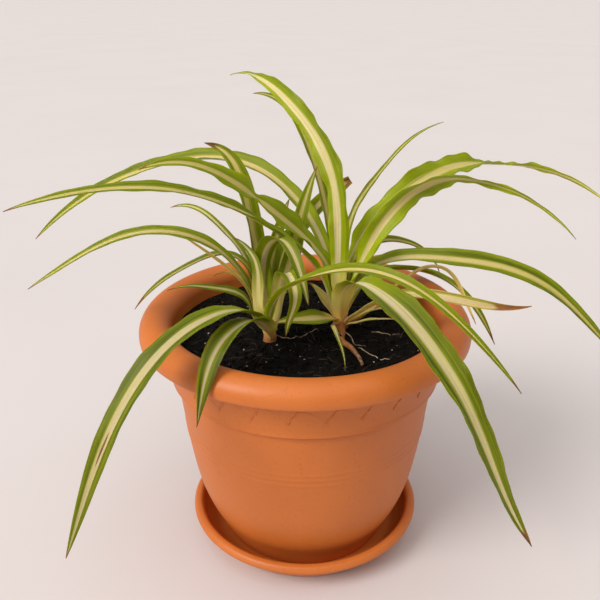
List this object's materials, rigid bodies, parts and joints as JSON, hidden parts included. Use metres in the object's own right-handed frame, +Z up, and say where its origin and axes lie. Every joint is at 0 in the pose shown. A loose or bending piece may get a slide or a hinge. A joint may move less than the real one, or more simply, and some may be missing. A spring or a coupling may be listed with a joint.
{
  "type": "potted spider plant",
  "caption": "Variegated spider plant with arching ribbon leaves, two crowns in potting mix, in a round terracotta-coloured plastic pot standing on its saucer.",
  "frame": {"origin": "centre of the saucer's flat underside, on the surface that it stands on", "axes": "+Z up along the pot's axis, -Y towards the viewer, +X to the viewer's right"},
  "size_m": [0.4415, 0.2557, 0.3156],
  "materials": {
    "terracotta_plastic": "satin terracotta-coloured moulded plastic",
    "potting_mix": "dark fibrous potting mix with white perlite",
    "stem": "pale tan leaf bases and root",
    "leaf": "smooth green leaf with a cream stripe down its middle",
    "dry_leaf": "withered straw-coloured leaf"
  },
  "bodies": {
    "root": {"saucer": "terracotta_plastic", "pot": "terracotta_plastic", "soil": "potting_mix", "crown_left": "stem", "crown_right": "stem", "leaf_left_01": "leaf", "leaf_left_02": "leaf", "leaf_left_03": "leaf", "leaf_left_04": "leaf", "leaf_left_05": "leaf", "leaf_left_06": "dry_leaf", "leaf_left_07": "leaf", "leaf_left_08": "leaf", "leaf_left_09": "leaf", "leaf_left_10": "leaf", "leaf_left_11": "leaf", "leaf_left_12": "leaf", "leaf_left_13": "leaf", "leaf_left_14": "leaf", "leaf_left_15": "leaf", "leaf_left_16": "leaf", "leaf_left_17": "dry_leaf", "leaf_right_01": "leaf", "leaf_right_02": "leaf", "leaf_right_03": "leaf", "leaf_right_04": "leaf", "leaf_right_05": "leaf", "leaf_right_06": "leaf", "leaf_right_07": "leaf", "leaf_right_08": "leaf", "leaf_right_09": "leaf", "leaf_right_10": "leaf", "leaf_right_11": "leaf", "leaf_right_12": "dry_leaf", "leaf_right_13": "dry_leaf", "leaf_right_14": "dry_leaf", "leaf_right_15": "leaf", "leaf_right_16": "dry_leaf", "leaf_right_17": "leaf", "leaf_right_18": "leaf", "leaf_right_19": "dry_leaf"}
  },
  "joints": []
}
